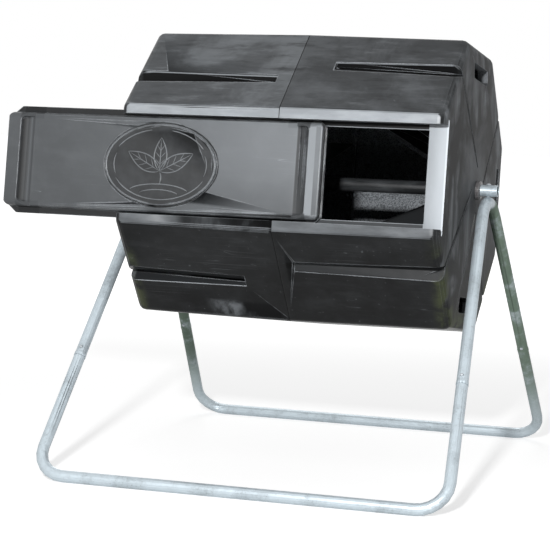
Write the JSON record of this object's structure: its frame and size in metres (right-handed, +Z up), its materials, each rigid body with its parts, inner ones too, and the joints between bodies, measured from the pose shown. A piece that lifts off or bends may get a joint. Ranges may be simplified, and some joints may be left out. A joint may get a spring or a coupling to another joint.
{
  "type": "compost tumbler",
  "caption": "Octagonal compost drum that spins on a tubular steel stand, with a long sliding door, mixing grooves, end vents and spring-button legs.",
  "frame": {"origin": "on the floor, under the middle of the object's own bounding box; the stand's middle is at x = +0.0878 because the open door sticks out to the left", "axes": "+Z up, -Y out of the drum's door side, +X along the axle to the right of someone facing the door"},
  "size_m": [1.0792, 1.0672, 0.9542],
  "materials": {
    "galvanised_tube": "galvanised, satin",
    "zinc_fastener": "zinc plated",
    "drum_plastic": "moulded polyethylene, fine grained",
    "door_plastic": "moulded polyethylene, fine grained",
    "bush_plastic": "as moulded"
  },
  "bodies": {
    "stand": {"base_frame_front": "galvanised_tube", "base_frame_rear": "galvanised_tube", "leg_arch_left": "galvanised_tube", "leg_arch_right": "galvanised_tube", "axle_tube": "galvanised_tube", "axle_bolt_left": "zinc_fastener", "axle_bolt_right": "zinc_fastener", "axle_nut_left": "zinc_fastener", "axle_nut_right": "zinc_fastener"},
    "drum": {"drum_half_left": "drum_plastic", "drum_half_right": "drum_plastic", "hub_bush_left": "bush_plastic", "hub_bush_right": "bush_plastic", "axle_sleeve": "bush_plastic", "seam_bolt_1": "zinc_fastener", "seam_bolt_2": "zinc_fastener", "seam_bolt_3": "zinc_fastener", "seam_bolt_4": "zinc_fastener", "seam_bolt_5": "zinc_fastener", "seam_bolt_6": "zinc_fastener", "seam_bolt_7": "zinc_fastener", "seam_nut_1": "zinc_fastener", "seam_nut_2": "zinc_fastener", "seam_nut_3": "zinc_fastener", "seam_nut_4": "zinc_fastener", "seam_nut_5": "zinc_fastener", "seam_nut_6": "zinc_fastener", "seam_nut_7": "zinc_fastener"},
    "door": {"door": "door_plastic"},
    "leg_button_front_left_body": {"leg_button_front_left": "zinc_fastener"},
    "leg_button_front_right_body": {"leg_button_front_right": "zinc_fastener"},
    "leg_button_rear_left_body": {"leg_button_rear_left": "zinc_fastener"},
    "leg_button_rear_right_body": {"leg_button_rear_right": "zinc_fastener"}
  },
  "joints": [
    {"name": "drum_spin", "type": "hinge", "parent": "stand", "child": "drum", "pos_m": [0.08785, 0, 0.627], "axis": [-1, 0, 0], "range_deg": [-29.5, 195.5]},
    {"name": "door_slide", "type": "slide", "parent": "drum", "child": "door", "axis": [1, 0, 0], "range_m": [-0.2904, 0.8176]},
    {"name": "leg_button_front_left_press", "type": "slide", "parent": "stand", "child": "leg_button_front_left_body", "axis": [-0.0539, 0.7761, -0.6283], "range_m": [0, 0.0048], "stiffness_N_per_m": 900, "springref_m": -0.003},
    {"name": "leg_button_front_right_press", "type": "slide", "parent": "stand", "child": "leg_button_front_right_body", "axis": [0.0539, 0.7761, -0.6283], "range_m": [0, 0.0048], "stiffness_N_per_m": 900, "springref_m": -0.003},
    {"name": "leg_button_rear_left_press", "type": "slide", "parent": "stand", "child": "leg_button_rear_left_body", "axis": [0.0539, 0.7761, 0.6283], "range_m": [0, 0.0048], "stiffness_N_per_m": 900, "springref_m": -0.003},
    {"name": "leg_button_rear_right_press", "type": "slide", "parent": "stand", "child": "leg_button_rear_right_body", "axis": [-0.0539, 0.7761, 0.6283], "range_m": [0, 0.0048], "stiffness_N_per_m": 900, "springref_m": -0.003}
  ]
}
